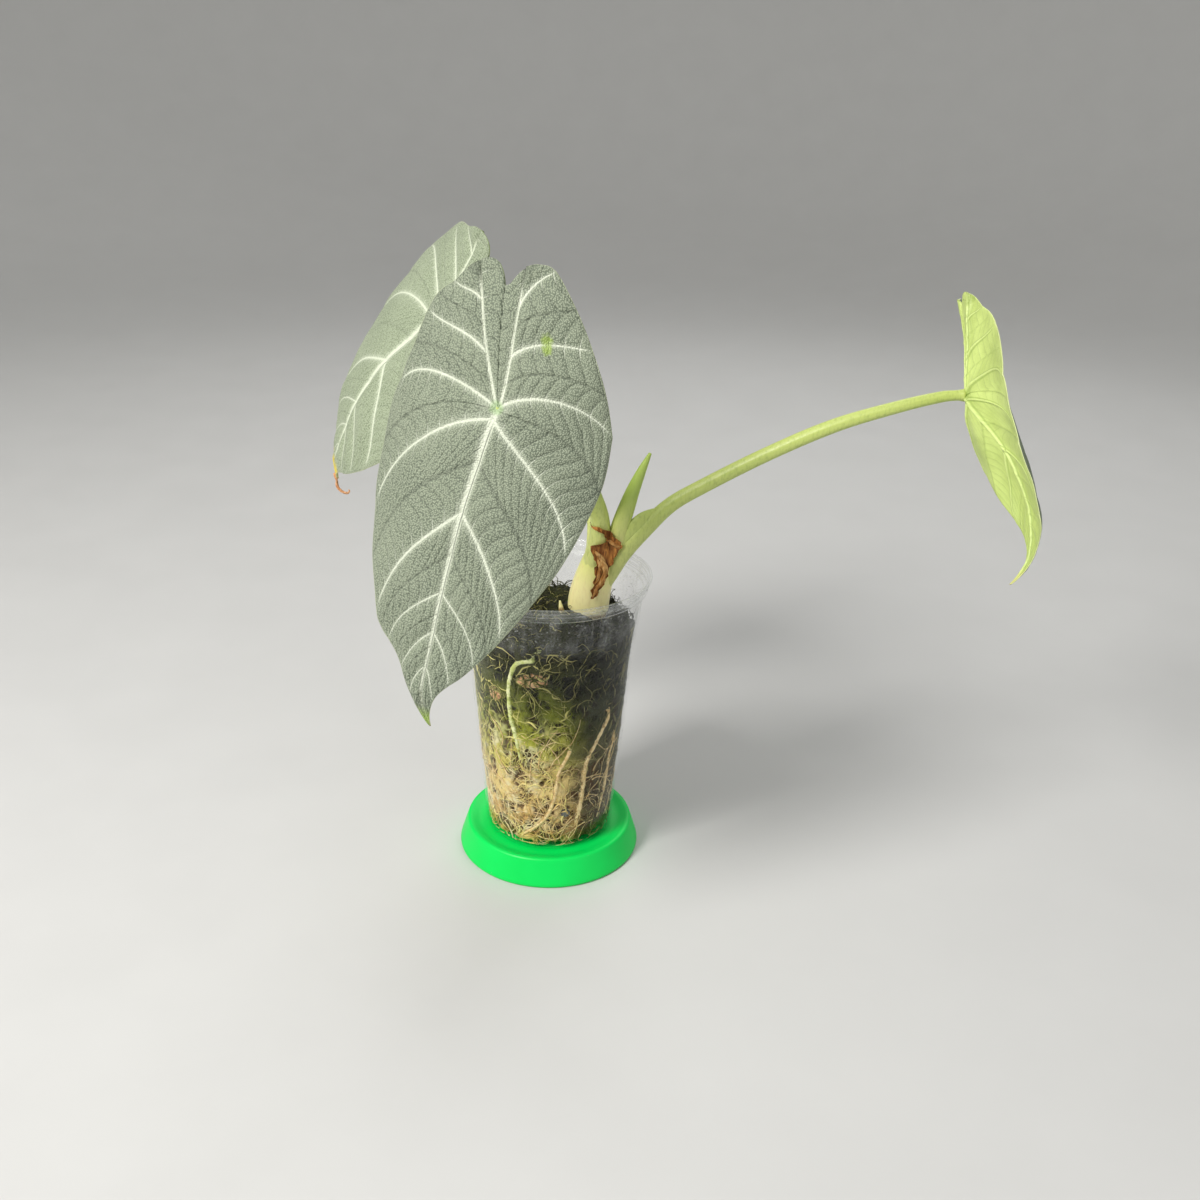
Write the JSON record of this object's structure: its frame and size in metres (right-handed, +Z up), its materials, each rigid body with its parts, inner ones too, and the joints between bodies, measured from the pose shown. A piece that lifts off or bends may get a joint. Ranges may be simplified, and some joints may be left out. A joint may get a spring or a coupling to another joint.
{
  "type": "potted maharani alocasia",
  "caption": "House plant with quilted grey-green heart-shaped leaves on pale stalks, rooted in moss in a clear plastic pot on a green saucer.",
  "frame": {"origin": "centre of the saucer's flat underside, on the table", "axes": "+Z up along the pot's axis, +X towards the leaf on the long stalk, -Y towards the viewer of the picture"},
  "size_m": [0.2962, 0.1883, 0.2867],
  "materials": {
    "saucer_plastic": "satin",
    "clear_plastic": "clear, slightly hazed",
    "moss": "matte, fibrous",
    "root": "matte",
    "bark": "matte",
    "stone": "matte",
    "stem": "satin",
    "new_leaf": "satin",
    "dry_sheath": "matte, papery",
    "leaf_dark": "matte, finely pebbled",
    "leaf_pale": "satin"
  },
  "bodies": {
    "root": {"saucer": "saucer_plastic", "pot": "clear_plastic", "moss": "moss", "root_1": "root", "root_2": "root", "root_3": "root", "root_4": "root", "root_5": "root", "root_6": "root", "bark_chip_1": "bark", "bark_chip_2": "bark", "pebble": "stone", "stem_base": "stem", "spear": "new_leaf", "stalk_front": "stem", "stalk_back": "stem", "stalk_right": "stem", "dry_sheath": "dry_sheath", "leaf_front": "leaf_dark", "leaf_back": "leaf_pale", "leaf_right": "leaf_pale"}
  },
  "joints": []
}
